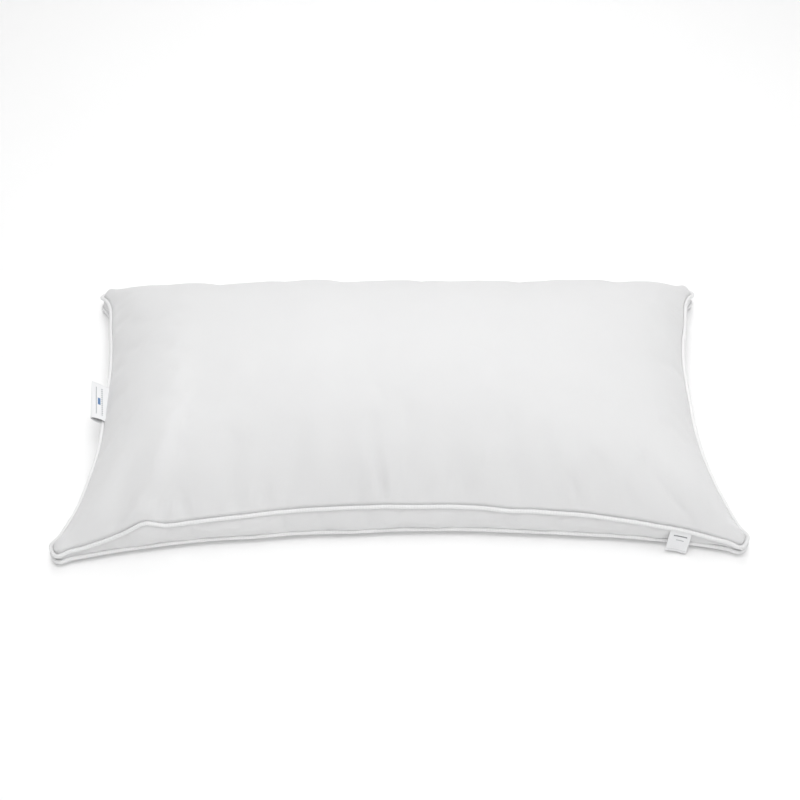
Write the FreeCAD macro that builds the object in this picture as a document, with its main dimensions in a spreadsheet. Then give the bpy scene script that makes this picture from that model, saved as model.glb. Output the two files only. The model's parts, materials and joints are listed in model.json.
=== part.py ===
"""Gusseted bed pillow with two corded seams. Millimetres, +Z up, origin on the floor under the middle.

+X runs along the length and +Y towards the back. The casing is two panels and four side strips
that meet edge to edge along the upper and the lower seam. Each seam is a closed loop of four
bowed sides that meet in pointed ears.
"""

import FreeCAD, Part

import math
import os

import Sketcher
from FreeCAD import Placement, Rotation, Vector

SIZES = {
    # plan of the seams: how far the middles reach out, and how much further the ears do
    "side_reach": 389.5,
    "side_bow": 46.0,
    "front_reach": 198.0,
    "front_bow": 37.0,
    # heights of the two seams, in the middle of a side and at an ear
    "upper_seam_height": 54.0,
    "upper_ear_height": 20.0,
    "lower_seam_height": 12.0,
    "lower_ear_height": 9.0,
    "crown_height": 168.0,
    # casing
    "ticking": 1.2,
    "gusset_bulge": 4.0,
    "rest_cut": 0.6,
    "filling_gap": 0.8,
    "thread_width": 0.3,
    "thread_step": 0.6,
    # piping: a bias strip round a cord
    "piping_diameter": 4.6,
    "piping_cord_diameter": 2.8,
    "cord_play": 0.05,
    "piping_stand_off": 3.6,
    "ear_turn_radius": 3.6,
    "piping_butt_gap": 0.6,
    # the two folded labels
    "label_leaf": 0.5,
    "label_gap": 0.9,
    "brand_label_reach": 22.5,
    "brand_label_width": 64.0,
    "brand_label_middle": -24.0,
    "brand_label_droop": -32.0,
    "care_label_reach": 27.0,
    "care_label_width": 27.0,
    "care_label_middle": 354.0,
    "care_label_droop": 72.0,
    "brand_label_root_out": -0.2,
    "brand_label_root_down": -4.4,
    "care_label_root_out": 2.8,
    "care_label_root_down": 4.2,
}

SIDE_BOW_POWER = 3        # the short sides run nearly straight and turn out close to the ears
SEAM_DROP_POWER = 2.5     # the seams stay level in the middle and drop close to the ears
CROWN_POWER_LONG = 0.3    # fullness of the crown along the length
CROWN_POWER_DEEP = 0.5    # and across the depth, where 0.5 is an ellipse
LONG_POLES = 17
DEEP_POLES = 13
STRIP_ROWS = 4
PATH_POINTS = 13          # corner points of the piping's path along one side
SEW_TOLERANCE = 1e-4

doc = FreeCAD.newDocument("Pillow")
sheet = doc.addObject("Spreadsheet::Sheet", "Sizes")
for row, (alias, value) in enumerate(SIZES.items(), start=1):
    sheet.set(f"A{row}", alias)
    sheet.set(f"B{row}", str(value))
    sheet.setAlias(f"B{row}", alias)
doc.recompute()


def size(alias):
    """A driving dimension, read from the sheet."""
    return float(sheet.get(alias))


# ---- the shape of the casing, as formulas over u (along the length) and v (across), -1 to 1 ----

def spread(count):
    """Values from -1 to 1 that crowd towards both ends, where the surface bends most."""
    return [math.sin(math.pi * (i / (count - 1) - 0.5)) for i in range(count)]


def plan(u, v, inset):
    x = u * (size("side_reach") - inset + size("side_bow") * abs(v) ** SIDE_BOW_POWER)
    y = v * (size("front_reach") - inset + size("front_bow") * u * u)
    return x, y


def seam_height(level, u, v):
    """Height of the upper or lower seam. u or v is 1 or -1 on the seam itself."""
    middle, ear = size(f"{level}_seam_height"), size(f"{level}_ear_height")
    return middle + (ear - middle) * abs(u * v) ** SEAM_DROP_POWER


def top_pole(u, v, inset):
    rise = size("crown_height") - size("upper_seam_height") - inset
    swell = max(0.0, 1 - u * u) ** CROWN_POWER_LONG * max(0.0, 1 - v * v) ** CROWN_POWER_DEEP
    return Vector(*plan(u, v, inset), seam_height("upper", u, v) + rise * swell)


def bottom_pole(u, v, inset):
    """The underside lies low, and turns up to the seam along its edge.

    Its outer face dips by rest_cut below the surface it rests on, and is cut flat there.
    """
    on_edge = abs(u) == 1 or abs(v) == 1
    low = inset if inset else -size("rest_cut")
    return Vector(*plan(u, v, inset), seam_height("lower", u, v) if on_edge else low)


def strip_pole(u, v, share, inset):
    """A point of a side strip, at a share of the way from the lower to the upper seam."""
    low, high = seam_height("lower", u, v), seam_height("upper", u, v)
    on_front = abs(v) == 1
    along = u if on_front else v
    bulge = size("gusset_bulge") * (1 - along * along) if 0 < share < 1 else 0.0
    x, y = plan(u, v, inset)
    if on_front:
        y += v * bulge
    else:
        x += u * bulge
    return Vector(x, y, low + (high - low) * share)


SIDES = {
    "front": lambda t: (t, -1.0),
    "right": lambda t: (1.0, t),
    "back": lambda t: (-t, 1.0),
    "left": lambda t: (-1.0, -t),
}


def side_values(side):
    """The values that a side's poles stand at, the same as along the panels' edges."""
    return spread(LONG_POLES if side in ("front", "back") else DEEP_POLES)


def panel_grid(pole, inset):
    return [[pole(u, v, inset) for v in spread(DEEP_POLES)] for u in spread(LONG_POLES)]


def strip_grid(side, inset):
    shares = [row / (STRIP_ROWS - 1) for row in range(STRIP_ROWS)]
    return [[strip_pole(*SIDES[side](t), share, inset) for share in shares]
            for t in side_values(side)]


# ---- solids from grids of spline poles ----

def knots(count, degree):
    """Clamped, evenly spaced knots and their multiplicities."""
    spans = count - degree
    values = [i / spans for i in range(spans + 1)]
    return values, [degree + 1] + [1] * (spans - 1) + [degree + 1]


def patch(grid):
    """The spline face over a grid of poles, of degree 3, or 1 across a two-pole rim."""
    u_degree, v_degree = min(3, len(grid) - 1), min(3, len(grid[0]) - 1)
    u_knots, u_mults = knots(len(grid), u_degree)
    v_knots, v_mults = knots(len(grid[0]), v_degree)
    surface = Part.BSplineSurface()
    surface.buildFromPolesMultsKnots(grid, u_mults, v_mults, u_knots, v_knots,
                                     False, False, u_degree, v_degree)
    return surface.toShape()


def borders(grid):
    """The four rows of poles along a grid's edges."""
    return [grid[0], grid[-1], [column[0] for column in grid], [column[-1] for column in grid]]


def closed_solid(faces):
    shell = Part.Shell(faces)
    shell.sewShape(SEW_TOLERANCE)
    solid = Part.Solid(shell)
    if solid.Volume < 0:
        solid.reverse()
    return solid


def layer(outer, inner):
    """The closed solid between two grids, with a ruled rim between each pair of edges."""
    rims = [patch([list(pair) for pair in zip(a, b)]) for a, b in zip(borders(outer), borders(inner))]
    return closed_solid([patch(outer), patch(inner)] + rims)


def add(name, shape):
    piece = doc.addObject("Part::Feature", name)
    piece.Label = name
    piece.Shape = shape
    return piece


def top_panel():
    return add("top_panel", layer(panel_grid(top_pole, 0.0), panel_grid(top_pole, size("ticking"))))


def bottom_panel():
    """The lower panel, cut level where it rests."""
    cloth = layer(panel_grid(bottom_pole, 0.0), panel_grid(bottom_pole, size("ticking")))
    length, depth = (2 * reach for reach in plan(1, 1, 0.0))
    below = Part.makeBox(length, depth, size("rest_cut") * 2,
                         Vector(-length / 2, -depth / 2, -size("rest_cut") * 2))
    return add("bottom_panel", cloth.cut(below))


def gusset_strip(side):
    return add(f"gusset_{side}", layer(strip_grid(side, 0.0), strip_grid(side, size("ticking"))))


def filling():
    inset = size("ticking") + size("filling_gap")
    faces = [patch(panel_grid(top_pole, inset)), patch(panel_grid(bottom_pole, inset))]
    faces += [patch(strip_grid(side, inset)) for side in SIDES]
    return add("filling", closed_solid(faces))


def seam_thread(level):
    """The line of lock stitches along the inside of a seam, as one thin bar on each side.

    It holds the side strips, so it stands a step from the seam towards their middle.
    """
    outer_inset = size("ticking") + size("thread_width") / 3
    half = size("thread_width") / 2
    step = size("thread_step") if level == "lower" else -size("thread_step")

    def ring(side, inset):
        grid = []
        for t in side_values(side):
            u, v = SIDES[side](t)
            height = seam_height(level, u, v) + step
            grid.append([Vector(*plan(u, v, inset), height + lift) for lift in (-half, half)])
        return grid

    bars = [layer(ring(side, outer_inset), ring(side, outer_inset + size("thread_width")))
            for side in SIDES]
    return add(f"{level}_seam_thread", Part.makeCompound(bars))


# ---- piping: straight runs joined by tangent arcs, just outside the seam ----

def outward(side, t):
    """Unit vector square to the seam in plan, pointing away from the pillow."""
    step = 1e-4
    before, after = (Vector(*plan(*SIDES[side](t + d), 0.0), 0) for d in (-step, step))
    along = (after - before).normalize()
    return Vector(along.y, -along.x, 0)


def seam_point(side, t, level):
    u, v = SIDES[side](t)
    return Vector(*plan(u, v, 0.0), seam_height(level, u, v))


def piping_points(level):
    """Corner points of the loop, from the middle of the back round to the same place."""
    off = size("piping_stand_off")
    order = ["left", "front", "right", "back"]
    loop = []
    for side, following in zip(order, order[1:] + order[:1]):
        for t in spread(PATH_POINTS)[1:-1]:
            loop.append(seam_point(side, t, level) + outward(side, t) * off)
        here, there = outward(side, 1.0), outward(following, -1.0)
        miter = (here + there) * (off / (1 + here.dot(there)))
        loop.append(seam_point(side, 1.0, level) + miter)
    middle = loop.index(max(loop, key=lambda p: (p.y - abs(p.x))))
    ring = loop[middle:] + loop[:middle + 1]
    half_gap = Vector(size("piping_butt_gap") / 2, 0, 0)
    ring[0], ring[-1] = ring[0] - half_gap, ring[-1] + half_gap
    return ring


def rounded_path(points, tight_radius):
    """A wire of straight runs and tangent arcs. A sharp turn gets the tight radius."""
    edges, start = [], points[0]
    for before, corner, after in zip(points, points[1:], points[2:]):
        back, ahead = (before - corner), (after - corner)
        half_turn = (math.pi - back.getAngle(ahead)) / 2
        trim = 0.45 * min(back.Length, ahead.Length)
        if half_turn > math.radians(30):
            trim = tight_radius * math.tan(half_turn)
        back, ahead = back.normalize(), ahead.normalize()
        radius = trim / math.tan(half_turn)
        inward = (back + ahead).normalize()
        middle = corner + inward * (radius / math.cos(half_turn) - radius)
        enter, leave = corner + back * trim, corner + ahead * trim
        edges.append(Part.LineSegment(start, enter).toShape())
        edges.append(Part.Arc(enter, middle, leave).toShape())
        start = leave
    edges.append(Part.LineSegment(start, points[-1]).toShape())
    return Part.Wire(edges)


def rod(path, radius):
    """A round bar along a path, checked against its section times its length."""
    start = path.Edges[0].valueAt(path.Edges[0].FirstParameter)
    direction = path.Edges[0].tangentAt(path.Edges[0].FirstParameter)
    section = Part.Wire([Part.makeCircle(radius, start, direction)])
    bar = path.makePipeShell([section], True, False)
    expected = math.pi * radius * radius * path.Length
    if abs(bar.Volume - expected) > 0.01 * expected:
        raise ValueError(f"rod volume {bar.Volume:.0f}, expected {expected:.0f}")
    return bar


def piping(level):
    path = rounded_path(piping_points(level), size("ear_turn_radius"))
    cord_radius = size("piping_cord_diameter") / 2
    bore = rod(path, cord_radius + size("cord_play"))
    add(f"{level}_piping", rod(path, size("piping_diameter") / 2).cut(bore))
    add(f"{level}_piping_cord", rod(path, cord_radius))


# ---- labels: a folded ribbon, modelled flat along +X with its root edge on the Y axis ----

def rectangle(body, name, edges):
    """A sketch of one rectangle in the XZ plane. edges gives each side's place as an expression."""
    sketch = body.newObject("Sketcher::SketchObject", name)
    plane = next(f for f in body.Origin.OriginFeatures if f.Role == "XZ_Plane")
    sketch.AttachmentSupport = [(plane, "")]
    sketch.MapMode = "FlatFace"
    corners = [Vector(1, 1), Vector(2, 1), Vector(2, 2), Vector(1, 2)]
    for a, b in zip(corners, corners[1:] + corners[:1]):
        sketch.addGeometry(Part.LineSegment(a, b))
    for line in range(4):
        sketch.addConstraint(Sketcher.Constraint("Coincident", line, 2, (line + 1) % 4, 1))
        sketch.addConstraint(Sketcher.Constraint("Vertical" if line % 2 else "Horizontal", line))
    for kind, line, edge in (("DistanceX", 0, "left"), ("DistanceX", 2, "right"),
                             ("DistanceY", 0, "low"), ("DistanceY", 2, "high")):
        number = sketch.addConstraint(Sketcher.Constraint(kind, -1, 1, line, 1, 1.0))
        sketch.setExpression(f"Constraints[{number}]", edges[edge])
    return sketch


def label(name, placement):
    body = doc.addObject("PartDesign::Body", name)
    body.Label = name
    reach, width = f"Sizes.{name}_reach", f"Sizes.{name}_width"
    thickness = "(2 * Sizes.label_leaf + Sizes.label_gap)"
    outline = rectangle(body, f"{name}_outline", {
        "left": "0", "right": reach, "low": f"-{thickness} / 2", "high": f"{thickness} / 2"})
    ribbon = body.newObject("PartDesign::Pad", f"{name}_ribbon")
    ribbon.Profile = outline
    ribbon.setExpression("Length", width)
    ribbon.Midplane = True
    doc.recompute()
    far_edges = [f"Edge{i}" for i, edge in enumerate(ribbon.Shape.Edges, start=1)
                 if all(abs(p.Point.x - size(f"{name}_reach")) < 1e-6 for p in edge.Vertexes)
                 and abs(edge.Vertexes[0].Point.y - edge.Vertexes[1].Point.y) > 1]
    fold = body.newObject("PartDesign::Fillet", f"{name}_fold")
    fold.Base = (ribbon, far_edges)
    fold.setExpression("Radius", f"{thickness} / 2 - 0.05")
    doc.recompute()
    between = body.newObject("PartDesign::Pocket", f"{name}_between")
    between.Profile = rectangle(body, f"{name}_opening", {
        "left": "-1", "right": f"{reach} - {thickness} / 2",
        "low": "-Sizes.label_gap / 2", "high": "Sizes.label_gap / 2"})
    between.Type = "ThroughAll"
    between.Midplane = True
    body.Placement = placement
    return body


def label_placement(name, side, t):
    """The root lies just outside the upper seam, above its piping or below it.

    +Y of the label follows the seam, and +X points away from the pillow, and down by the droop.
    """
    step = 1e-4
    along = (seam_point(side, t + step, "upper") - seam_point(side, t - step, "upper")).normalize()
    out = outward(side, t)
    root = seam_point(side, t, "upper") - Vector(0, 0, size(f"{name}_root_down"))
    root += out * (size("piping_stand_off") + size(f"{name}_root_out"))
    level_out = (out - along * out.dot(along)).normalize()
    drooping = Rotation(along, size(f"{name}_droop")).multVec(level_out)
    print(f"{name}: root {root}, lift axis {along * -1}")
    return Placement(root, Rotation(drooping, along, drooping.cross(along), "XYZ"))


def brand_label():
    t = -size("brand_label_middle") / (size("front_reach") + size("front_bow"))
    return label("brand_label", label_placement("brand_label", "left", t))


def care_label():
    t = size("care_label_middle") / (size("side_reach") + size("side_bow"))
    return label("care_label", label_placement("care_label", "front", t))


top_panel()
bottom_panel()
for side in SIDES:
    gusset_strip(side)
filling()
for level in ("upper", "lower"):
    seam_thread(level)
    piping(level)
brand_label()
care_label()
doc.recompute()

for item in doc.Objects:
    if any(word in item.State for word in ("Invalid", "Error")):
        raise ValueError(f"{item.Name} failed: {item.State}")
pieces = [item for item in doc.Objects if item.TypeId in ("Part::Feature", "PartDesign::Body")]
for piece in pieces:
    if piece.Shape.isNull() or not piece.Shape.isValid():
        raise ValueError(f"{piece.Label} has no valid shape")
os.makedirs("parts", exist_ok=True)
for piece in pieces:
    piece.Shape.exportStep(f"parts/{piece.Label}.step")
    box = piece.Shape.BoundBox
    print(f"{piece.Label}: {piece.Shape.Volume:.0f} mm3, {len(piece.Shape.Solids)} solids, "
          f"{box.XLength:.1f} x {box.YLength:.1f} x {box.ZLength:.1f} mm, lowest {box.ZMin:.1f}")
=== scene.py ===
"""A bed pillow: a stuffed cotton cover with a side strip between two corded seams.

The cover is four kinds of cloth piece: the crowned top panel, the bottom panel it rests
on, four side strips, and two bias-cut pipings that close the seams. Two folded woven
labels are caught in the upper seam and swing on it.
"""
import json
import math
import bpy
import numpy as np
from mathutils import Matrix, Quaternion, Vector


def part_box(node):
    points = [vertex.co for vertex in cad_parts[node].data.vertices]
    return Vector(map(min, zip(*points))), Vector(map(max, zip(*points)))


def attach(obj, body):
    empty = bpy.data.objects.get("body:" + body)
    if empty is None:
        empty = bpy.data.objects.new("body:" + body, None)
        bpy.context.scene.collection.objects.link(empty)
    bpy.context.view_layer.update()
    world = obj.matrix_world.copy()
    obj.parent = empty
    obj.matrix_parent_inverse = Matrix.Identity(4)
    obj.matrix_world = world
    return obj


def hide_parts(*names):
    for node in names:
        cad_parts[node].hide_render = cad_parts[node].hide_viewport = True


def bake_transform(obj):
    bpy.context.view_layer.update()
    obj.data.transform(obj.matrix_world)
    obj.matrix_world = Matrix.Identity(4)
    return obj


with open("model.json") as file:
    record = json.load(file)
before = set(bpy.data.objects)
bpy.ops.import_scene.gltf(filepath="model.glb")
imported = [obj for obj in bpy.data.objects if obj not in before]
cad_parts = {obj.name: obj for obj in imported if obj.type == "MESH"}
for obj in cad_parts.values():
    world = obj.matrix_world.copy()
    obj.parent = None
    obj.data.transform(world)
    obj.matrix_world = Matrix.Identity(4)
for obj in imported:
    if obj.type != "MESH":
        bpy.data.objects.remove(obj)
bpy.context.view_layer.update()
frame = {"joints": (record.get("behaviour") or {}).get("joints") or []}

# ---------------------------------------------------------------- sizes, in metres
top_low, top_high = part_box("top_panel")
front_low, front_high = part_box("gusset_front")
left_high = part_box("gusset_left")[1]
EAR_X = top_high[0]
EAR_Y = top_high[1]
SIDE_MIDDLE = -left_high[0]
FRONT_MIDDLE = -front_high[1]
UPPER_MIDDLE = front_high[2]
UPPER_EAR = top_low[2]
LOWER_EAR = front_low[2]
LOWER_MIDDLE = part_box("bottom_panel")[1][2]
CROWN = top_high[2] + 0.002  # the loft of the plumped pillow
END_FULL, BACK_FULL = 0.30, 0.50  # powers of the crown's fall at its ends and back: less is fuller
FACE_STEEP = 3.3  # rise of the crown's front face, as crown heights per half depth
END_STEEP, BACK_STEEP = 6.5, 4.0  # the same at its ends, per half length, and at its back
DECK_DROP, DECK_CURVE = 0.52, 1.7  # how far the crown has come down where that face begins
EAR_ROUND = 0.022  # how widely the seam turns each ear
CREST_ROUND = 0.005  # how widely the seam turns over where it rides up
EAR_SHARP = 0.40 * EAR_ROUND  # what that rounding takes off an ear's two reaches
# The cloth bunched up in an ear widens it: how far, how far along from its tip, and over how much.
EAR_KNOB, KNOB_AT, KNOB_WIDE = 0.0045, 0.017, 0.011
GRID = 0.0072  # spacing of the top panel's cloth mesh
PIPING_RADIUS = 0.0026
PIPING_OUT = 0.0017  # from the seam line out to the middle of the piping
CORD_RADIUS = 0.0014
THREAD_RADIUS = 0.00022
CLOTH_THICK = 0.0008
FLANGE = 0.0075  # how far a piping's flange runs back into its seam
FLANGE_THICK = 0.0004
CROWN_SWELL = 0.105  # rise of the crown over its seam, before it is fitted to CROWN
EDGE_UP = 0.0016  # how far the top panel starts up its piping
LONG_LUMP, SHORT_LUMP = 0.0009, 0.00035  # spread of the filling's lumps, wide and narrow
STRIP_BULGE = 0.13  # of a side strip's height
UNDER_ROUND = 0.030  # how far in the bottom panel comes down to what it rests on
FLOOR_GLOW = 0.10
SEED = 11
SIDES = ("front", "right", "back", "left")

rng = np.random.default_rng(SEED)


# ---------------------------------------------------------------- number helpers
def smooth_step(x):
    """0 below 0, 1 above 1, and smooth between."""
    x = np.clip(x, 0.0, 1.0)
    return x * x * (3.0 - 2.0 * x)


def unit(v):
    return v / np.maximum(np.linalg.norm(v, axis=-1, keepdims=True), 1e-12)


def soft_noise(shape, spacing, wave_a, wave_b):
    """Seeded noise over a grid whose bumps are about wave_a by wave_b metres, with a spread of 1."""
    field = rng.normal(0.0, 1.0, shape)
    fa = np.fft.fftfreq(shape[0], spacing)[:, None]
    fb = np.fft.fftfreq(shape[1], spacing)[None, :]
    cut = np.exp(-2.0 * (math.pi / 4.0) ** 2 * ((wave_a * fa) ** 2 + (wave_b * fb) ** 2))
    field = np.real(np.fft.ifft2(np.fft.fft2(field) * cut))
    return (field - field.mean()) / field.std()


def arc_lengths(points):
    steps = np.linalg.norm(np.diff(points, axis=0), axis=1)
    return np.concatenate([[0.0], np.cumsum(steps)])


def resample(points, count):
    """The same open line in count evenly spaced points."""
    along = arc_lengths(points)
    at = np.linspace(0.0, along[-1], count)
    return np.column_stack([np.interp(at, along, points[:, k]) for k in range(3)])


# ---------------------------------------------------------------- seam lines
# How far each ear lies off the even outline on plan, and how far its upper seam stands up.
EAR_SHIFT = {
    "front_left": (-0.0015, -0.0045, -0.005),
    "front_right": (0.0025, 0.0005, -0.005),
    "back_right": (0.000, 0.000, 0.003),
    "back_left": (0.000, 0.001, 0.005),
}
# Places where a seam rides up or stands out: side, place along it, lift, out, reach before and after.
UPPER_PULLS = (
    ("front", -0.314, 0.0180, 0.000, 0.030, 0.016),
    ("front", -0.265, 0.0040, 0.000, 0.040, 0.050),
    ("front", -0.395, -0.0030, 0.000, 0.020, 0.015),
    ("front", 0.140, -0.0020, 0.000, 0.050, 0.050),
    ("front", 0.310, 0.0025, 0.000, 0.060, 0.050),
    ("left", 0.060, 0.0030, 0.000, 0.060, 0.050),
    ("right", -0.080, 0.0030, 0.000, 0.040, 0.060),
    ("back", 0.120, 0.0040, 0.000, 0.070, 0.070),
)
LOWER_PULLS = (
    ("front", -0.080, 0.0000, 0.0040, 0.220, 0.180),
    ("front", 0.370, 0.0000, -0.0045, 0.060, 0.045),
)


def ear(name):
    """One sharp corner of the outline, before its rounding."""
    sx = 1 if name.endswith("right") else -1
    sy = 1 if name.startswith("back") else -1
    dx, dy = EAR_SHIFT[name][:2]
    return np.array([sx * (EAR_X + EAR_SHARP) + dx, sy * (EAR_Y + EAR_SHARP) + dy])


def turn_out(side, t):
    """How far a side has turned out towards its ears at t, 0 at its middle and 1 at an ear.

    The short sides run straight along their front halves and turn out sharply by the front ears.
    """
    if side in ("front", "back"):
        return t * t
    forward = t if side == "left" else -t
    sharp = 4.0 if side == "left" else 3.3
    front_half = 0.04 - 0.07 * smooth_step(forward / 0.3) + 1.03 * np.abs(t) ** sharp
    pinch = 0.16 * np.exp(-(((np.abs(t) - 0.80) / 0.12) ** 2))
    return np.where(forward > 0, front_half, 0.04 + 0.96 * t * t - pinch)


def side_line(side, middle_height, ear_height, ears_up, pulls):
    """One side of the seam from ear to ear, anticlockwise, bowed in towards the pillow."""
    ends = {
        "front": ("front_left", "front_right"),
        "right": ("front_right", "back_right"),
        "back": ("back_right", "back_left"),
        "left": ("back_left", "front_left"),
    }[side]
    a, b = ear(ends[0]), ear(ends[1])
    t = np.linspace(-1.0, 1.0, 801)
    plan = a + (b - a) * (t[:, None] + 1.0) / 2.0
    sag = EAR_Y - FRONT_MIDDLE if side in ("front", "back") else EAR_X - SIDE_MIDDLE
    sag += EAR_SHARP
    inward = np.array([-(b - a)[1], (b - a)[0]]) / np.linalg.norm(b - a)
    plan = plan + inward * (sag * (1.0 - turn_out(side, t)))[:, None]
    height = ear_height + (middle_height - ear_height) * (1.0 - np.abs(t) ** 2.5)
    place = t * np.linalg.norm(b - a) / 2.0
    height += ears_up * EAR_SHIFT[ends[0]][2] * ((1.0 - t) / 2.0) ** 6
    height += ears_up * EAR_SHIFT[ends[1]][2] * ((1.0 + t) / 2.0) ** 6
    for where, at, lift, out, before, after in pulls:
        if where == side:
            reach = np.where(place < at, before, after)
            near = np.exp(-(np.abs((place - at) / reach) ** 1.3))
            height += lift * near
            plan = plan - inward * (out * near)[:, None]
    return np.column_stack([plan, height])


def seam_loop(middle_height, ear_height, ears_up, pulls, wobble):
    """A closed seam with rounded ears: its points, and the index of each ear."""
    sharp = [side_line(s, middle_height, ear_height, ears_up, pulls)[:-1] for s in SIDES]
    starts = np.cumsum([0] + [len(s) for s in sharp[:-1]])
    line = np.concatenate(sharp)
    closed = np.vstack([line, line[:1]])
    along = arc_lengths(closed)
    count = 4096
    at = np.linspace(0.0, along[-1], count, endpoint=False)
    loop = np.column_stack([np.interp(at, along, closed[:, k]) for k in range(3)])
    ears = [int(np.argmin(np.abs(at - along[s]))) for s in starts]
    frequency = np.fft.rfftfreq(count, along[-1] / count)
    for k, width in enumerate((EAR_ROUND, EAR_ROUND, CREST_ROUND)):
        rounding = np.exp(-2.0 * (math.pi * frequency * width) ** 2)
        loop[:, k] = np.fft.irfft(np.fft.rfft(loop[:, k]) * rounding, count)
    around = along[-1]
    apart = [np.abs((at - along[k] + around / 2) % around - around / 2) for k in starts]
    knob = EAR_KNOB * np.exp(-(((np.min(apart, axis=0) - KNOB_AT) / KNOB_WIDE) ** 2))
    loop[:, :2] += outward(loop) * knob[:, None]
    drift = soft_noise((count, 1), along[-1] / count, 0.12, 1.0)[:, 0]
    loop[:, :2] += outward(loop) * (wobble * drift)[:, None]
    ripple = soft_noise((count, 1), along[-1] / count, 0.05, 1.0)[:, 0]
    loop[:, 2] += 0.5 * wobble * ripple
    return loop, ears


def outward(loop):
    """Level directions pointing out of a closed anticlockwise line."""
    along = np.roll(loop, -1, axis=0) - np.roll(loop, 1, axis=0)
    return unit(np.column_stack([along[:, 1], -along[:, 0]]))


def side_of(loop, ears, side, count):
    """Evenly spaced points of one side of a seam loop, ear to ear."""
    k = SIDES.index(side)
    first, last = ears[k], ears[(k + 1) % 4]
    if last <= first:
        last += len(loop)
    return resample(loop[np.arange(first, last + 1) % len(loop)], count)


# ---------------------------------------------------------------- cloth panels
NX = int(round(2.0 * EAR_X / GRID))
NY = int(round(2.0 * EAR_Y / GRID))


def coons(loop, ears, nx, ny):
    """A sheet of points stretched between the four sides of a seam."""
    f = side_of(loop, ears, "front", nx + 1)[:, None, :]
    b = side_of(loop, ears, "back", nx + 1)[::-1][:, None, :]
    r = side_of(loop, ears, "right", ny + 1)[None, :, :]
    s = side_of(loop, ears, "left", ny + 1)[::-1][None, :, :]
    u = np.linspace(0.0, 1.0, nx + 1)[:, None, None]
    v = np.linspace(0.0, 1.0, ny + 1)[None, :, None]
    corners = (1 - u) * (1 - v) * f[:1] + u * (1 - v) * f[-1:]
    corners = corners + (1 - u) * v * b[:1] + u * v * b[-1:]
    return (1 - v) * f + v * b + (1 - u) * s + u * r - corners


def grid_normals(p):
    """Unit normals of a grid of points, up where the grid runs +X then +Y."""
    du = np.gradient(p, axis=0)
    dv = np.gradient(p, axis=1)
    return unit(np.cross(du, dv))


# Soft puckers that run in from a seam: side, place along it, length, half width, depth, lean.
PUCKERS = (
    ("front", -0.016, 0.070, 0.0055, 0.0081, -0.22),
    ("front", -0.050, 0.045, 0.0070, 0.0029, 0.05),
    ("front", -0.092, 0.034, 0.0060, 0.0020, -0.10),
    ("front", -0.158, 0.040, 0.0070, 0.0041, -0.25),
    ("front", -0.196, 0.030, 0.0060, 0.0023, 0.10),
    ("front", -0.252, 0.042, 0.0075, 0.0049, -0.55),
    ("front", -0.292, 0.050, 0.0085, 0.0049, 0.25),
    ("front", -0.350, 0.044, 0.0080, 0.0038, 0.45),
    ("front", 0.034, 0.034, 0.0060, 0.0020, 0.15),
    ("front", 0.088, 0.038, 0.0075, 0.0026, -0.10),
    ("front", 0.150, 0.034, 0.0065, 0.0020, 0.10),
    ("front", 0.226, 0.046, 0.0060, 0.0058, -0.40),
    ("front", 0.290, 0.036, 0.0070, 0.0026, -0.20),
    ("front", 0.366, 0.040, 0.0050, 0.0075, -0.80),
    ("left", -0.030, 0.040, 0.0080, 0.0022, 0.25),
    ("left", -0.120, 0.038, 0.0070, 0.0036, 0.20),
    ("left", -0.152, 0.034, 0.0060, 0.0034, 0.10),
    ("left", 0.110, 0.045, 0.0080, 0.0024, -0.35),
    ("right", -0.105, 0.045, 0.0075, 0.0032, 0.45),
    ("right", 0.010, 0.036, 0.0080, 0.0020, 0.00),
    ("right", 0.140, 0.038, 0.0065, 0.0030, -0.20),
    ("back", -0.300, 0.026, 0.0080, 0.0012, 0.30),
    ("back", -0.060, 0.022, 0.0080, 0.0012, 0.15),
    ("back", 0.210, 0.024, 0.0080, 0.0012, -0.25),
)
# Rolls of the panel that stand over the piping: side, place along it, half length, how far.
ROLLS = (
    ("front", -0.318, 0.030, 0.0056),
    ("front", 0.300, 0.060, 0.0012),
    ("left", -0.100, 0.050, 0.0016),
    ("right", 0.060, 0.060, 0.0014),
)
# The soft pad of filling in each ear: how far in from its tip, how wide, and how high.
EAR_PAD_IN, EAR_PAD_WIDE, EAR_PAD_HIGH = 0.022, 0.015, 0.0085


def along_and_in(side, nx, ny, length_x, length_y):
    """For every grid point, its place along one side and its distance in from it."""
    x = np.linspace(-0.5, 0.5, nx + 1)[:, None] * length_x * np.ones((1, ny + 1))
    y = np.linspace(-0.5, 0.5, ny + 1)[None, :] * length_y * np.ones((nx + 1, 1))
    if side == "front":
        return x, y + length_y / 2.0
    if side == "back":
        return -x, length_y / 2.0 - y
    if side == "right":
        return y, length_x / 2.0 - x
    return -y, x + length_x / 2.0


def pucker_depths(nx, ny, length_x, length_y):
    """How far each grid point stands out of the smooth panel because of the puckers."""
    total = np.zeros((nx + 1, ny + 1))
    for side, at, length, half, depth, lean in PUCKERS:
        a, d = along_and_in(side, nx, ny, length_x, length_y)
        off = (a - at - lean * d - 0.3 * lean * d * d / length) / (half * (1.0 + 5.0 * d))
        run = smooth_step(d / 0.012) * (1.0 - smooth_step(d / length))
        valley = -np.exp(-off * off)
        ridges = 0.55 * np.exp(-((off - 1.7) ** 2)) + 0.45 * np.exp(-((off + 1.7) ** 2))
        total += depth * run * (valley + ridges)
    for side, at, half, far in ROLLS:
        a, d = along_and_in(side, nx, ny, length_x, length_y)
        total += far * np.exp(-(((a - at) / half) ** 2)) * np.exp(-(((d - 0.010) / 0.007) ** 2))
    return total


def lower_of(a, b):
    """The lower of two heights, rounded where they meet."""
    return (np.maximum(a, 1e-4) ** -6 + np.maximum(b, 1e-4) ** -6) ** (-1 / 6)


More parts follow.
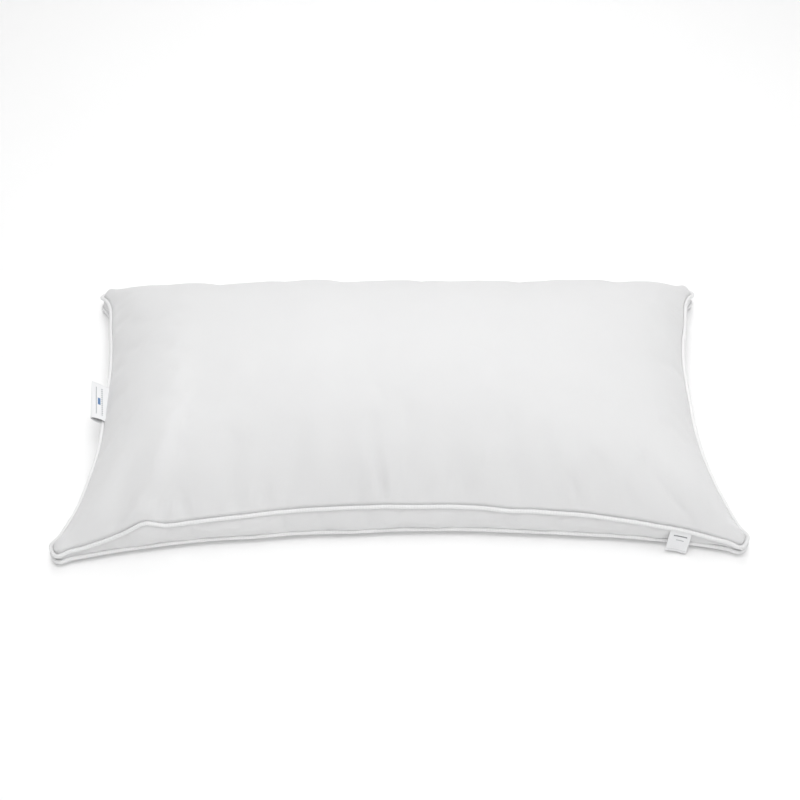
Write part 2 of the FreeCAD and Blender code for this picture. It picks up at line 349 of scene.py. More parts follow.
def top_form(loop, ears):
    """The top panel as plumped: crowned, steep at its seam, with the filling's lumps and the puckers."""
    p = coons(loop, ears, NX, NY)
    u = np.linspace(-1.0, 1.0, NX + 1)[:, None]
    v = np.linspace(-1.0, 1.0, NY + 1)[None, :]
    waver = 1 + 0.09 * soft_noise((NX + 1, 1), GRID, 0.06, 1.0)
    deck = 1 - DECK_DROP * np.clip(-v, 0, 1) ** DECK_CURVE
    front = lower_of(FACE_STEEP * waver * (1 + v), deck)
    back = lower_of(BACK_STEEP * (1 - v), np.clip(1 - v * v, 0, 1) ** BACK_FULL)
    ends = lower_of(END_STEEP * (1 - np.abs(u)), np.clip(1 - u * u, 0, 1) ** END_FULL)
    p[:, :, 2] += EDGE_UP + CROWN_SWELL * ends * np.where(v < 0, front, back)
    off_seam = smooth_step((1 - np.abs(u)) * EAR_X / 0.012)
    off_seam = off_seam * smooth_step((1 - np.abs(v)) * EAR_Y / 0.012)
    for name in EAR_SHIFT:
        tip = ear(name)
        middle = tip - EAR_PAD_IN / math.sqrt(2) * np.sign(tip)
        far = np.linalg.norm(p[:, :, :2] - middle, axis=2)
        p[:, :, 2] += EAR_PAD_HIGH * np.exp(-((far / EAR_PAD_WIDE) ** 2)) * off_seam
    base = UPPER_MIDDLE - 0.004
    ease = (CROWN - base) / (p[:, :, 2].max() - base)
    p[:, :, 2] = np.where(p[:, :, 2] > base, base + (p[:, :, 2] - base) * ease, p[:, :, 2])
    lumps = LONG_LUMP * soft_noise((NX + 1, NY + 1), GRID, 0.16, 0.12)
    lumps *= 1.0 - 0.8 * smooth_step(v / 0.35)
    lumps += SHORT_LUMP * soft_noise((NX + 1, NY + 1), GRID, 0.045, 0.045)
    inside = smooth_step(6.0 * (1 - np.abs(u))) * smooth_step(3.5 * (1 - np.abs(v)))
    rise = lumps * inside + pucker_depths(NX, NY, 2 * EAR_X, 2 * EAR_Y)
    normal = grid_normals(p)
    p[1:-1, 1:-1] += (normal * rise[:, :, None])[1:-1, 1:-1]
    return p


def grid_faces(nx, ny):
    ids = np.arange((nx + 1) * (ny + 1)).reshape(nx + 1, ny + 1)
    quads = np.stack([ids[:-1, :-1], ids[1:, :-1], ids[1:, 1:], ids[:-1, 1:]], axis=-1)
    return ids, quads.reshape(-1, 4)


def new_mesh(name, points, faces):
    mesh = bpy.data.meshes.new(name)
    mesh.from_pydata(np.asarray(points).tolist(), [], np.asarray(faces).tolist())
    mesh.polygons.foreach_set("use_smooth", [True] * len(mesh.polygons))
    mesh.update()
    piece = bpy.data.objects.new(name, mesh)
    bpy.context.scene.collection.objects.link(piece)
    return piece


def sew_and_fill(cut, sewn, pressure, frames, most, stiffness=40.0, bending=0.4):
    """Simulates a panel whose cut shape is drawn in to its sewn edge while the filling pushes it out.

    No point may end further than most from where it was sewn.
    """
    nx, ny = cut.shape[0] - 1, cut.shape[1] - 1
    ids, faces = grid_faces(nx, ny)
    piece = new_mesh("cloth_in_work", cut.reshape(-1, 3), faces)
    piece.shape_key_add(name="Basis")
    key = piece.shape_key_add(name="sewn")
    key.data.foreach_set("co", sewn.astype(np.float32).ravel())
    key.value = 0.0
    key.keyframe_insert("value", frame=1)
    key.value = 1.0
    key.keyframe_insert("value", frame=frames // 2)
    edge = np.unique(np.concatenate([ids[0], ids[-1], ids[:, 0], ids[:, -1]]))
    group = piece.vertex_groups.new(name="seam")
    group.add([int(k) for k in edge], 1.0, "REPLACE")
    cloth = piece.modifiers.new("cloth", "CLOTH")
    s = cloth.settings
    s.quality = 6
    s.mass = 0.05
    s.tension_stiffness = stiffness
    s.compression_stiffness = stiffness
    s.shear_stiffness = 8.0
    s.bending_stiffness = bending
    s.tension_damping = 2.0
    s.compression_damping = 2.0
    s.shear_damping = 2.0
    s.bending_damping = 0.5
    s.air_damping = 1.0
    s.vertex_group_mass = "seam"
    s.use_pressure = True
    s.uniform_pressure_force = pressure
    s.effector_weights.gravity = 0.0
    cloth.collision_settings.use_collision = False
    cloth.collision_settings.use_self_collision = False
    cloth.point_cache.frame_start = 1
    cloth.point_cache.frame_end = frames
    for number in range(1, frames + 1):
        bpy.context.scene.frame_set(number)
    shaped = piece.evaluated_get(bpy.context.evaluated_depsgraph_get()).to_mesh()
    flat = np.zeros(len(shaped.vertices) * 3, np.float32)
    shaped.vertices.foreach_get("co", flat)
    moved = flat.reshape(sewn.shape).astype(float) - sewn
    mesh = piece.data
    bpy.data.objects.remove(piece)
    bpy.data.meshes.remove(mesh)
    bpy.context.scene.frame_set(1)
    far = np.linalg.norm(moved, axis=2, keepdims=True)
    moved *= most * np.tanh(far / most) / np.maximum(far, 1e-9)
    return sewn + moved


def eased(panel, more, along=1.0):
    """The cut of a panel: a little larger on plan than it is sewn."""
    cut = panel.copy()
    cut[:, :, 0] *= 1.0 + more
    cut[:, :, 1] *= 1.0 + more * along
    return cut


def metre_uv(piece, nx, ny, width, length):
    """UVs in metres on the cut cloth, so a weave runs with its threads."""
    layer = piece.data.uv_layers.new(name="cut")
    u = np.repeat(np.linspace(0, width, nx + 1), ny + 1)
    v = np.tile(np.linspace(0, length, ny + 1), nx + 1)
    corner = np.zeros(len(piece.data.loops), int)
    piece.data.loops.foreach_get("vertex_index", corner)
    layer.data.foreach_set("uv", np.column_stack([u[corner], v[corner]]).ravel())


def thicken(piece, thickness, side):
    """Gives a sheet its thickness, towards its back for side -1."""
    solid = piece.modifiers.new("thickness", "SOLIDIFY")
    solid.thickness = thickness
    solid.offset = side
    solid.use_even_offset = False
    return piece


def refine(piece, levels=1):
    finer = piece.modifiers.new("finer", "SUBSURF")
    finer.levels = levels
    finer.render_levels = levels
    return piece


upper_loop, upper_ears = seam_loop(UPPER_MIDDLE, UPPER_EAR, 1.0, UPPER_PULLS, 0.0007)
lower_loop, lower_ears = seam_loop(LOWER_MIDDLE, LOWER_EAR, 0.0, LOWER_PULLS, 0.0006)


def make_top():
    sewn = top_form(upper_loop, upper_ears)
    shape = sewn
    shape = sew_and_fill(eased(sewn, 0.006), sewn, 3.0, 20, 0.008)
    faces = grid_faces(NX, NY)[1]
    piece = new_mesh("top_panel_cloth", shape.reshape(-1, 3), faces)
    metre_uv(piece, NX, NY, 2 * EAR_X, 2 * EAR_Y)
    refine(piece)
    thicken(piece, CLOTH_THICK, -1.0)
    return piece, shape


def strip_form(side, count, rows):
    """One side strip between its two seams, full in its middle and tucked in at the lower piping."""
    upper = side_of(upper_loop, upper_ears, side, count + 1)
    lower = side_of(lower_loop, lower_ears, side, count + 1)
    along = np.gradient(0.5 * (upper + lower), axis=0)
    out = unit(np.column_stack([along[:, 1], -along[:, 0], 0 * along[:, 0]]))
    upper[:, 2] -= 0.0008
    tall = np.linalg.norm(upper - lower, axis=1)
    t = np.linspace(0.0, 1.0, rows + 1)
    p = lower[:, None, :] * (1 - t)[None, :, None] + upper[:, None, :] * t[None, :, None]
    full = (4 * t * (1 - t)) ** 0.7 * (1.0 + 0.35 * (1 - 2 * t))
    bulge = STRIP_BULGE * tall[:, None] * full[None, :]
    ripples = soft_noise((count + 1, rows + 1), GRID, 0.032, 0.09) * 0.0007
    bulge += ripples * (4 * t * (1 - t))[None, :]
    from_ear = GRID * np.minimum(np.arange(count + 1), count - np.arange(count + 1))
    bulge *= smooth_step(from_ear / 0.024)[:, None]
    return p + out[:, None, :] * bulge[:, :, None]


def make_strip(side, count):
    rows = 9
    sewn = strip_form(side, count, rows)
    shape = sewn
    shape = sew_and_fill(eased(sewn, 0.010), sewn, 2.0, 14, 0.004)
    faces = grid_faces(count, rows)[1]
    piece = new_mesh(f"gusset_{side}_cloth", shape.reshape(-1, 3), faces)
    metre_uv(piece, count, rows, count * GRID, 0.042)
    refine(piece)
    thicken(piece, CLOTH_THICK, -1.0)
    return piece


def make_bottom():
    """The bottom panel: round under its seam, flat where the pillow rests, with shallow creases."""
    p = coons(lower_loop, lower_ears, NX, NY)
    u = np.linspace(-1.0, 1.0, NX + 1)[:, None]
    v = np.linspace(-1.0, 1.0, NY + 1)[None, :]
    in_x = (1 - np.abs(u)) * EAR_X
    in_y = (1 - np.abs(v)) * EAR_Y
    near = in_x * in_y / np.sqrt(in_x**2 + in_y**2 + 1e-9)
    fall = (1.0 - smooth_step(near / UNDER_ROUND)) ** 1.4
    creases = np.abs(soft_noise((NX + 1, NY + 1), GRID, 0.05, 0.05))
    p[:, :, 2] = p[:, :, 2] * fall + 0.0004 * creases * (1 - fall)
    faces = grid_faces(NX, NY)[1]
    piece = new_mesh("bottom_panel_cloth", p.reshape(-1, 3), faces[:, ::-1])
    metre_uv(piece, NX, NY, 2 * EAR_X, 2 * EAR_Y)
    refine(piece)
    thicken(piece, CLOTH_THICK, -1.0)
    return piece, p


def make_filling(top, bottom):
    """The fibre filling: a closed cushion just inside the cover, a little lumpy."""
    inner_top = top - grid_normals(top) * 0.0035
    lumps = soft_noise((NX + 1, NY + 1), GRID, 0.05, 0.05) * 0.0008
    inner_top[:, :, 2] += lumps - 0.0010
    inner_bottom = bottom.copy()
    inner_bottom[:, :, 2] += 0.0022
    for p in (inner_top, inner_bottom):
        p[:, :, 0] *= (EAR_X - 0.008) / EAR_X
        p[:, :, 1] *= (EAR_Y - 0.006) / EAR_Y
    ids, faces = grid_faces(NX, NY)
    count = ids.size
    ring = np.concatenate([ids[:, 0], ids[-1, 1:], ids[-2::-1, -1], ids[0, -2:0:-1]])
    after = np.roll(ring, -1)
    walls = np.column_stack([ring + count, after + count, after, ring])
    points = np.concatenate([inner_top.reshape(-1, 3), inner_bottom.reshape(-1, 3)])
    every = np.concatenate([faces, faces[:, ::-1] + count, walls])
    return new_mesh("fibre_filling", points, every)


# ---------------------------------------------------------------- pipings, cords, threads
def sweep(name, path, out, section_at, closed=True):
    """A tube along path. section_at(k) gives its outline as (out, up) pairs in metres."""
    along = np.roll(path, -1, axis=0) - np.roll(path, 1, axis=0)
    if not closed:
        along = np.gradient(path, axis=0)
    along = unit(along)
    level = np.column_stack([out, np.zeros(len(out))])
    level = unit(level - along * (level * along).sum(axis=1, keepdims=True))
    up = unit(np.cross(level, along))
    up = up * np.sign(up[:, 2:3])
    rings = []
    for k in range(len(path)):
        section = section_at(k)
        rings.append(path[k] + section[:, :1] * level[k] + section[:, 1:] * up[k])
    rings = np.array(rings)
    n, m = rings.shape[:2]
    ids = np.arange(n * m).reshape(n, m)
    turn = np.roll(ids, -1, axis=1)
    if closed:
        nxt, nxt_turn = np.roll(ids, -1, axis=0), np.roll(turn, -1, axis=0)
        quads = np.stack([ids, turn, nxt_turn, nxt], axis=-1).reshape(-1, 4)
    else:
        quads = np.stack([ids[:-1], turn[:-1], turn[1:], ids[1:]], axis=-1).reshape(-1, 4)
    faces = quads.tolist()
    if not closed:
        faces.append(ids[0][::-1].tolist())
        faces.append(ids[-1].tolist())
    piece = new_mesh(name, rings.reshape(-1, 3), faces[:1])
    mesh = piece.data
    mesh.clear_geometry()
    mesh.from_pydata(rings.reshape(-1, 3).tolist(), [], faces)
    mesh.polygons.foreach_set("use_smooth", [True] * len(mesh.polygons))
    layer = mesh.uv_layers.new(name="cut")
    step = np.linalg.norm(np.diff(path, axis=0), axis=1).mean()
    corner = np.zeros(len(mesh.loops), int)
    mesh.loops.foreach_get("vertex_index", corner)
    round_it = np.tile(np.arange(m), n) * 2 * math.pi * PIPING_RADIUS / m
    run = np.repeat(np.arange(n), m) * step
    layer.data.foreach_set("uv", np.column_stack([run[corner], round_it[corner]]).ravel())
    return piece


def opened(loop, gap, count, butt_at):
    """The seam loop as an open line whose two ends meet, a small gap apart, at the back."""
    rolled = np.roll(loop, -butt_at, axis=0)
    line = np.vstack([rolled, rolled[:1]])
    total = arc_lengths(line)[-1]
    along = arc_lengths(line)
    at = np.linspace(gap / 2.0, total - gap / 2.0, count)
    return np.column_stack([np.interp(at, along, line[:, k]) for k in range(line.shape[1])])


def make_piping(name, loop, ears):
    """Bias-cut cloth rolled round a cord, with its flange sewn into the seam behind it."""
    count = 1400
    both = np.column_stack([loop, outward(loop)])
    line = opened(both, 0.0006, count, (ears[2] + ears[3]) // 2)
    path, out = line[:, :3].copy(), unit(line[:, 3:])
    path[:, :2] += out * PIPING_OUT
    angles = np.radians(np.linspace(150.0, -150.0, 13))
    step = arc_lengths(path)[-1] / count
    twist = soft_noise((count, 1), step, 0.02, 1.0)[:, 0]
    pinch = soft_noise((count, 1), step, 0.035, 1.0)[:, 0]

    def section(k):
        crease = 0.04 * np.sin(angles + 2 * math.pi * k * step / 0.011 + 0.6 * twist[k])
        radius = PIPING_RADIUS * (1.0 + crease + 0.025 * pinch[k])
        ring = np.column_stack([radius * np.cos(angles), radius * np.sin(angles)])
        flange = np.array([[-FLANGE, -FLANGE_THICK / 2], [-FLANGE, FLANGE_THICK / 2]])
        return np.vstack([ring, flange])

    return sweep(name, path, out, section, closed=False)


def make_cord(name, loop, ears):
    """The twisted cotton cord inside a piping."""
    count = 1000
    both = np.column_stack([loop, outward(loop)])
    line = opened(both, 0.0010, count, (ears[2] + ears[3]) // 2)
    path, out = line[:, :3].copy(), unit(line[:, 3:])
    path[:, :2] += out * PIPING_OUT
    angles = np.linspace(0.0, 2 * math.pi, 12, endpoint=False)
    step = arc_lengths(path)[-1] / count

    def section(k):
        lay = 0.10 * np.cos(3.0 * (angles - 2 * math.pi * k * step / 0.018))
        radius = CORD_RADIUS * (0.9 + lay)
        return np.column_stack([radius * np.cos(angles), radius * np.sin(angles)])

    return sweep(name, path, out, section, closed=False)


def make_thread(name, loop):
    """The lockstitch that closes a seam, just behind its piping."""
    stitch = 0.003
    both = np.column_stack([loop, outward(loop)])
    total = arc_lengths(loop)[-1]
    stitches = int(total / stitch)
    line = opened(both, 0.0, stitches * 4 + 1, 0)[:-1]
    path, out = line[:, :3].copy(), unit(line[:, 3:])
    path[:, :2] -= out * 0.0012
    path[:, 2] += 0.0004 * np.sin(np.arange(len(path)) * math.pi / 2.0)
    angles = np.linspace(0.0, 2 * math.pi, 5, endpoint=False)
    ring = THREAD_RADIUS * np.column_stack([np.cos(angles), np.sin(angles)])
    return sweep(name, path, out, lambda k: ring)


# ---------------------------------------------------------------- labels
def joint_place(name):
    """A label's hinge: its place and its axis, in the row frame."""
    joint = next(j for j in frame["joints"] if j["name"] == name)
    return np.array(joint["pos_m"]), unit(np.array(joint["axis"]))


def make_label(name, joint, out, droop, reach, width, gap_near, gap_far, curl, root_in, slew):
    """A woven ribbon folded in half, both ends caught in the seam.

    It leaves the seam along out, turned down by droop, for reach metres, and bends by curl.
    gap_near and gap_far are how far its two leaves part at its two open ends. root_in is how far
    its ends go into the seam, and slew how far it is turned in its own plane.
    """
    root, axis = joint_place(joint)
    level = unit(np.array([out[0], out[1], 0.0]) - axis * np.dot([out[0], out[1], 0.0], axis))
    down = unit(np.cross(axis, level))
    if down[2] > 0:
        down = -down
    forward = level * math.cos(droop) + down * math.sin(droop)
    back = level * math.sin(droop) - down * math.cos(droop)
    rows, columns = 36, 20
    q = np.linspace(0.0, 2.0, rows + 1)
    way = 1.0 - np.abs(1.0 - q)  # 0 in the seam, 1 at the fold
    face = np.sign(1.0 - q)
    w = np.linspace(0.0, 1.0, columns + 1)
    part = gap_near + (gap_far - gap_near) * w
    lens = np.sin(math.pi * np.clip(way, 0.0, 1.0) * 0.97) ** 0.8
    fold = np.sqrt(np.clip(1.0 - way**8, 0.0, 1.0))
    apart = 0.5 * part[None, :] * lens[:, None] + 0.00030 * fold[:, None]
    lift = face[:, None] * apart * np.where(face[:, None] > 0, 1.25, 0.75)
    arc = curl * (way**2)[:, None] + 0.0006 * np.sin(2.4 * math.pi * w + 0.5)[None, :] * way[:, None]
    reach_at = (root_in + reach) * way[:, None] - root_in - 0.0004 * np.sin(math.pi * w)[None, :]
    reach_at = reach_at + (w - 0.5)[None, :] * width * math.tan(slew)
    place = root + forward * reach_at[:, :, None] + back * (lift + arc)[:, :, None]
    place = place + axis * ((w - 0.5) * width)[None, :, None]
    faces = grid_faces(rows, columns)[1]
    piece = new_mesh(name, place.reshape(-1, 3), faces)
    metre_uv(piece, rows, columns, 2 * reach, width)
    thicken(piece, 0.00032, 0.0)
    refine(piece)
    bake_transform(piece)
    return piece


# ---------------------------------------------------------------- materials
class Cloth:
    """Builds one fabric material node by node."""

    def __init__(self, name):
        self.material = bpy.data.materials.new(name)
        self.material.use_nodes = True
        self.tree = self.material.node_tree
        self.shader = self.tree.nodes["Principled BSDF"]
        self.bump = None

    def node(self, kind, **inputs):
        made = self.tree.nodes.new(kind)
        for key, value in inputs.items():
            made.inputs[key.replace("_", " ")].default_value = value
        return made

    def link(self, a, b):
        self.tree.links.new(a, b)

    def place(self, space, scale, turn=0.0):
        """Texture coordinates: "UV" in metres on the cut cloth, or "Object" in metres."""
        source = self.node("ShaderNodeTexCoord").outputs[space]
        mapping = self.node("ShaderNodeMapping")
        mapping.inputs["Scale"].default_value = scale
        mapping.inputs["Rotation"].default_value = (0.0, 0.0, turn)
        self.link(source, mapping.inputs["Vector"])
        return mapping.outputs["Vector"]

    def noise(self, where, scale, detail=3.0, rough=0.55):
        made = self.node("ShaderNodeTexNoise", Scale=scale, Detail=detail, Roughness=rough)
        self.link(where, made.inputs["Vector"])
        return made.outputs["Fac"]

    def bands(self, where, pitch, direction, waver=0.0):
        made = self.node("ShaderNodeTexWave", Scale=0.314 / pitch, Distortion=waver)
        made.bands_direction = direction
        made.inputs["Detail"].default_value = 1.0
        self.link(where, made.inputs["Vector"])
        return made.outputs["Fac"]

    def math(self, operation, a, b):
        made = self.node("ShaderNodeMath")
        made.operation = operation
        for socket, value in zip(made.inputs, (a, b)):
            if isinstance(value, (int, float)):
                socket.default_value = value
            else:
                self.link(value, socket)
        return made.outputs[0]

    def fit(self, value, low, high, new_low, new_high):
        made = self.node("ShaderNodeMapRange")
        self.link(value, made.inputs["Value"])
        made.inputs["From Min"].default_value = low
        made.inputs["From Max"].default_value = high
        made.inputs["To Min"].default_value = new_low
        made.inputs["To Max"].default_value = new_high
        return made.outputs["Result"]

    def mix(self, factor, a, b):
        made = self.node("ShaderNodeMix")
        made.data_type = "RGBA"
        self.link(factor, made.inputs["Factor"])
        for socket, value in zip(made.inputs[6:8], (a, b)):
            if isinstance(value, tuple):
                socket.default_value = (*value, 1.0)
            else:
                self.link(value, socket)
        return made.outputs[2]

    def raise_by(self, height, distance, strength=1.0):
        """Adds a layer of relief, of this depth in metres."""
        made = self.node("ShaderNodeBump", Strength=strength, Distance=distance)
        self.link(height, made.inputs["Height"])
        if self.bump is not None:
            self.link(self.bump, made.inputs["Normal"])
        self.bump = made.outputs["Normal"]

    def weave(self, pitch, turn=0.0, depth=0.00012):
        """A plain weave: raised where warp or weft passes over. Gives its height."""
        where = self.place("UV", (1.0, 1.0, 1.0), turn)
        warp = self.fit(self.bands(where, pitch, "X", 0.6), 0.0, 1.0, -1.0, 1.0)
        weft = self.fit(self.bands(where, pitch, "Y", 0.6), 0.0, 1.0, -1.0, 1.0)
        height = self.fit(self.math("MULTIPLY", warp, weft), -1.0, 1.0, 0.0, 1.0)
        self.raise_by(height, depth, 0.6)
        return height

    def slubs(self, turn=0.0, depth=0.00010):
        """Uneven threads: long thin streaks both ways."""
        warp = self.noise(self.place("UV", (1400.0, 70.0, 1.0), turn), 1.0)
        weft = self.noise(self.place("UV", (70.0, 1400.0, 1.0), turn), 1.0)
        both = self.math("MULTIPLY", self.math("ADD", warp, weft), 0.5)
        self.raise_by(both, depth, 0.5)
        return both

    def finish(self, roughness, sheen, sheen_roughness, specular=0.25):
        s = self.shader.inputs
        if isinstance(roughness, float):
            s["Roughness"].default_value = roughness
        else:
            self.link(roughness, s["Roughness"])
        s["Sheen Weight"].default_value = sheen
        s["Sheen Roughness"].default_value = sheen_roughness
        s["Specular IOR Level"].default_value = specular
        self.link(self.bump, s["Normal"])
        return self.material


TICKING_LIGHT = (0.812, 0.812, 0.814)
TICKING_DARK = (0.776, 0.776, 0.779)
# The piping's colours are the ticking cotton painted lighter: painted light for its tops, which face up.
PIPING_PAINTED_LIT_LIGHT = (0.880, 0.880, 0.882)
PIPING_PAINTED_LIT_DARK = (0.835, 0.835, 0.838)


def ticking():
    """Close-woven white cotton, with uneven threads and a faint unpressed crinkle."""
    c = Cloth("white_cotton_ticking")
    body = c.place("Object", (1.0, 1.0, 1.0))
    height = c.weave(0.0007)
    threads_ = c.slubs()
    crinkle = c.noise(body, 55.0, 4.0)
    c.raise_by(crinkle, 0.0012, 0.35)
    cloud = c.noise(body, 9.0, 2.0)
    tone = c.math("ADD", c.math("MULTIPLY", height, 0.25), c.math("MULTIPLY", threads_, 0.45))
    tone = c.math("ADD", tone, c.math("MULTIPLY", cloud, 0.30))
    colour = c.mix(c.fit(tone, 0.30, 0.70, 0.0, 1.0), TICKING_DARK, TICKING_LIGHT)
    c.link(colour, c.shader.inputs["Base Color"])
    return c.finish(c.fit(threads_, 0.3, 0.7, 0.78, 0.90), 0.18, 0.55)


def piping():
    """The same cotton cut on the bias and pulled smooth, its colour painted lighter than the ticking's:
    painted light where its top faces up.
    """
    c = Cloth("white_bias_piping_painted_lit")
    height = c.weave(0.0007, math.radians(45))
    streaks = c.slubs(math.radians(45))
    body = c.place("Object", (1.0, 1.0, 1.0))
    c.raise_by(c.noise(body, 160.0), 0.0006, 0.35)
    tone = c.math("ADD", c.math("MULTIPLY", height, 0.5), c.math("MULTIPLY", streaks, 0.5))
    # Painted light: the piping's weave tone is mixed between colours painted lighter than the ticking's.
    colour = c.mix(c.fit(tone, 0.30, 0.70, 0.0, 1.0), PIPING_PAINTED_LIT_DARK, PIPING_PAINTED_LIT_LIGHT)
    c.link(colour, c.shader.inputs["Base Color"])
    return c.finish(c.fit(streaks, 0.3, 0.7, 0.68, 0.82), 0.20, 0.45)


def yarn(name, light, dark, pitch, roughness):
    """Twisted yarn: fine slanting plies."""
    c = Cloth(name)
    plies = c.bands(c.place("UV", (1.0, 1.0, 1.0), math.radians(35)), pitch, "X", 0.8)
    fuzz = c.noise(c.place("Object", (1.0, 1.0, 1.0)), 900.0)
    c.raise_by(plies, 0.0002, 0.8)
    c.raise_by(fuzz, 0.0001, 0.5)
    c.link(c.mix(plies, dark, light), c.shader.inputs["Base Color"])
    return c.finish(roughness, 0.15, 0.6)


def fibre():
    """Loose white filling: tangled fibres in soft clumps."""
    c = Cloth("white_fibre_filling")
    body = c.place("Object", (1.0, 1.0, 1.0))
    clumps = c.noise(body, 30.0, 6.0, 0.7)
    strands = c.noise(c.place("Object", (90.0, 900.0, 300.0)), 1.0, 4.0)
    c.raise_by(clumps, 0.004, 0.7)
    c.raise_by(strands, 0.0008, 0.7)
    tone = c.math("MULTIPLY", c.math("ADD", clumps, strands), 0.5)
    colour = c.mix(c.fit(tone, 0.3, 0.7, 0.0, 1.0), (0.80, 0.79, 0.76), (0.92, 0.91, 0.89))
    c.link(colour, c.shader.inputs["Base Color"])
    return c.finish(0.95, 0.35, 0.7)


def ribbon(name, marks):
    """White woven satin ribbon with plain bars.

    Each mark is a bar: where it starts and ends along the loop, where it starts and ends across,
    the pitch of its dashes (0 for none), the share of each dash that is inked, and its colour.
    """
    c = Cloth(name)
    where = c.place("UV", (1.0, 1.0, 1.0))
    ribs = c.bands(where, 0.0006, "X", 0.3)
    warp = c.bands(where, 0.0005, "Y", 0.3)
    c.raise_by(ribs, 0.00010, 0.6)
    c.raise_by(warp, 0.00006, 0.4)
    fleck = c.noise(where, 900.0)
    colour = c.mix(c.fit(fleck, 0.3, 0.7, 0.0, 1.0), (0.84, 0.845, 0.86), (0.90, 0.905, 0.91))
    split = c.node("ShaderNodeSeparateXYZ")
    c.link(where, split.inputs[0])
    u, v = split.outputs["X"], split.outputs["Y"]
    for u0, u1, v0, v1, pitch, share, tint in marks:
        inside = c.math("MULTIPLY", c.math("GREATER_THAN", u, u0), c.math("LESS_THAN", u, u1))
        inside = c.math("MULTIPLY", inside, c.math("GREATER_THAN", v, v0))
        inside = c.math("MULTIPLY", inside, c.math("LESS_THAN", v, v1))
        if pitch:
            beat = c.math("FRACT", c.math("DIVIDE", v, pitch), 0.0)
            inside = c.math("MULTIPLY", inside, c.math("LESS_THAN", beat, share))
        worn = c.math("MULTIPLY", inside, c.fit(fleck, 0.25, 0.6, 0.80, 1.0))
        colour = c.mix(worn, colour, tint)
    c.link(colour, c.shader.inputs["Base Color"])
    return c.finish(c.fit(ribs, 0.0, 1.0, 0.42, 0.55), 0.10, 0.4, 0.4)


def paper_floor():
    """Pale seamless studio paper, faintly uneven."""
    c = Cloth("pale_studio_paper")
    body = c.place("Object", (1.0, 1.0, 1.0))
    tone = c.noise(body, 3.0, 2.0)
    c.raise_by(c.noise(body, 700.0), 0.0001, 0.2)
    colour = c.mix(tone, (0.925, 0.925, 0.925), (0.935, 0.935, 0.935))
    c.link(colour, c.shader.inputs["Base Color"])
    c.shader.inputs["Emission Color"].default_value = (1.0, 1.0, 1.0, 1.0)
    c.shader.inputs["Emission Strength"].default_value = FLOOR_GLOW
    return c.finish(0.9, 0.0, 0.5, 0.1)


# ---------------------------------------------------------------- making the pillow
def dress(piece, material, slot, *nodes):
    """A piece that rides with the pillow, its finish, and the nodes it stands for."""
    piece.data.materials.append(material)
    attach(piece, "pillow")
    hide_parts(*nodes)
    return piece


ticking_cloth = ticking()
piping_cloth = piping()

top_piece, top_shape = make_top()
dress(top_piece, ticking_cloth, "ticking", "top_panel")
bottom_piece, bottom_shape = make_bottom()
dress(bottom_piece, ticking_cloth, "ticking", "bottom_panel")
for side in SIDES:
    strip = make_strip(side, NX if side in ("front", "back") else NY)
    dress(strip, ticking_cloth, "ticking", f"gusset_{side}")
filling_piece = make_filling(top_shape, bottom_shape)
dress(filling_piece, fibre(), "filling", "filling")

cord_yarn = yarn("cotton_piping_cord", (0.86, 0.85, 0.82), (0.74, 0.73, 0.70), 0.0016, 0.9)
sewing_thread = yarn("white_sewing_thread", (0.90, 0.90, 0.90), (0.78, 0.78, 0.78), 0.0003, 0.6)
for which, loop, ears in (("upper", upper_loop, upper_ears), ("lower", lower_loop, lower_ears)):
    tube = make_piping(f"{which}_piping_cloth", loop, ears)
    dress(tube, piping_cloth, "piping", f"{which}_piping")
    core = make_cord(f"{which}_piping_core", loop, ears)
    dress(core, cord_yarn, "cord", f"{which}_piping_cord")
    stitching = make_thread(f"{which}_seam_stitching", loop)
    dress(stitching, sewing_thread, "thread", f"{which}_seam_thread")

GREY = (0.42, 0.43, 0.45)
DARK = (0.16, 0.16, 0.17)
BLUE = (0.07, 0.19, 0.42)
brand = make_label(
    "side_label_ribbon",
    "brand_label_lift",
    out=(-1.0, 0.0),
    droop=math.radians(-32),
    reach=0.0205,
    width=0.064,
    gap_near=0.0075,
    gap_far=0.0012,
    curl=0.0010,
    root_in=0.007,
    slew=math.radians(8),
)
brand.data.materials.append(ribbon("side_label_satin", (
    (0.0085, 0.0100, 0.008, 0.056, 0.0036, 0.62, GREY),
    (0.0150, 0.0158, 0.008, 0.056, 0.0, 0.0, GREY),
    (0.0110, 0.0138, 0.026, 0.038, 0.0, 0.0, BLUE),
)))
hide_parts("brand_label")
care = make_label(
    "front_label_ribbon",
    "care_label_lift",
    out=(0.0, -1.0),
    droop=math.radians(72),
    reach=0.027,
    width=0.027,
    gap_near=0.0016,
    gap_far=0.0012,
    curl=0.0006,
    root_in=0.004,
    slew=0.0,
)
care.data.materials.append(ribbon("front_label_satin", (
    (0.0060, 0.0073, 0.0045, 0.0215, 0.0, 0.0, DARK),
    (0.0112, 0.0121, 0.0075, 0.0170, 0.0, 0.0, GREY),
    (0.0235, 0.0241, 0.0010, 0.0260, 0.0, 0.0, (0.62, 0.63, 0.64)),
)))
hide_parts("care_label")


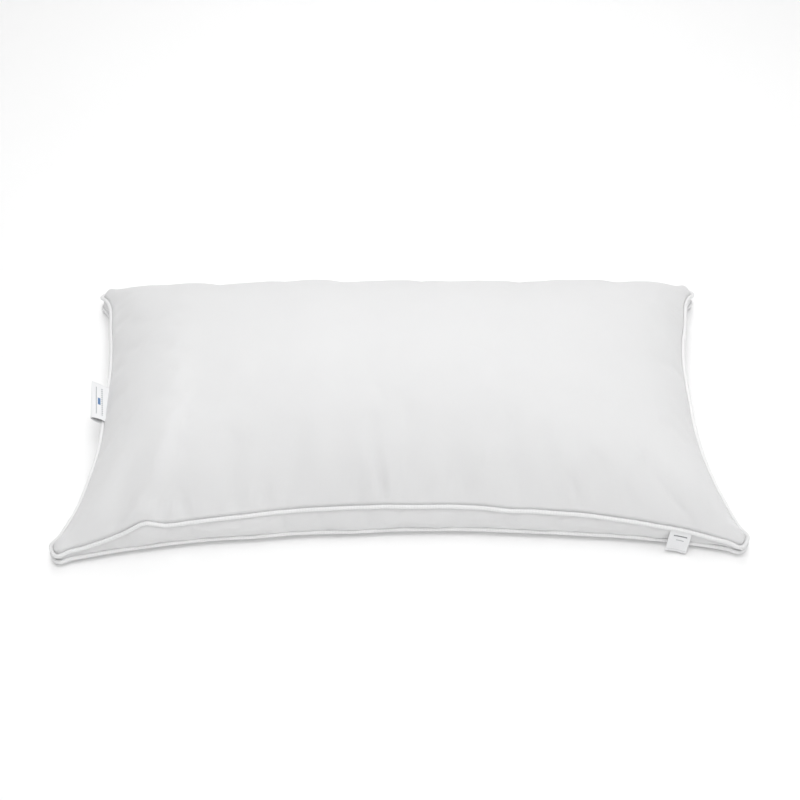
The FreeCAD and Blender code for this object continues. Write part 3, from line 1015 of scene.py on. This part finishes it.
# ---------------------------------------------------------------- studio
def make_floor():
    """A round sweep of paper: flat under the pillow, turning up into a low wall all round."""
    flat, bend, top, around = 2.6, 0.8, 1.6, 96
    quarter = np.linspace(0.0, math.pi / 2.0, 13)
    curve = flat + bend * np.sin(quarter[1:])
    reach = np.concatenate([np.linspace(0.05, flat, 12), curve, [flat + bend]])
    rise = np.concatenate([np.zeros(12), bend * (1.0 - np.cos(quarter[1:])), [bend + top]])
    turn = np.linspace(0.0, 2 * math.pi, around, endpoint=False)
    rings = [
        np.column_stack([r * np.cos(turn), r * np.sin(turn), 0 * turn + z])
        for r, z in zip(reach, rise)
    ]
    ids = np.arange(len(rings) * around).reshape(len(rings), around)
    nxt = np.roll(ids, -1, axis=1)
    faces = np.stack([ids[:-1], ids[1:], nxt[1:], nxt[:-1]], axis=-1).reshape(-1, 4).tolist()
    floor = new_mesh("studio_floor", np.concatenate(rings), faces[:1])
    floor.data.clear_geometry()
    floor.data.from_pydata(np.concatenate(rings).tolist(), [], faces + [ids[0].tolist()])
    floor.data.polygons.foreach_set("use_smooth", [True] * len(floor.data.polygons))
    floor.data.materials.append(paper_floor())


def make_light(name, place, aim, size, power):
    lamp = bpy.data.lights.new(name, "AREA")
    lamp.shape = "DISK"
    lamp.size = size
    lamp.energy = power
    holder = bpy.data.objects.new(name, lamp)
    holder.location = place
    way = Vector(aim) - Vector(place)
    holder.rotation_mode = "QUATERNION"
    holder.rotation_quaternion = way.to_track_quat("-Z", "Y")
    bpy.context.scene.collection.objects.link(holder)


def make_world(strength):
    world = bpy.data.worlds.new("studio_surround")
    world.use_nodes = True
    background = world.node_tree.nodes["Background"]
    background.inputs["Color"].default_value = (1.0, 1.0, 1.0, 1.0)
    background.inputs["Strength"].default_value = strength
    bpy.context.scene.world = world


def make_camera():
    """The viewpoint: above and in front, a hair off level."""
    down = math.radians(45.6)
    distance = 1.915
    focal = 1385.0 / 800.0  # of the picture's width
    roll = math.radians(-0.45)
    look = Vector((0.0, math.cos(down), -math.sin(down)))
    rise = Vector((0.0, math.sin(down), math.cos(down)))
    camera = bpy.data.cameras.new("camera")
    camera.sensor_width = 36.0
    camera.lens = 36.0 * focal
    holder = bpy.data.objects.new("camera", camera)
    holder.location = -distance * look + 0.0275 * rise + Vector((0.003, 0.0, 0.0))
    holder.rotation_mode = "QUATERNION"
    holder.rotation_quaternion = look.to_track_quat("-Z", "Y") @ Quaternion((0, 0, 1), roll)
    bpy.context.scene.collection.objects.link(holder)
    bpy.context.scene.camera = holder


make_floor()
LIGHTS = (
    ("overhead_softbox", (0.0, 0.0, 2.4), 2.0, 20.0),
    ("back_softbox", (0.0, 1.6, 2.0), 1.6, 16.0),
    ("right_panel", (2.2, -0.3, 1.3), 1.4, 5.0),
    ("front_softbox", (0.0, -1.0, 2.4), 1.4, 22.0),
)
for name, place, size, power in LIGHTS:
    make_light(name, place, (0.0, 0.0, 0.05), size, power)
make_world(0.1)
make_camera()
bpy.context.scene.view_settings.view_transform = "Standard"
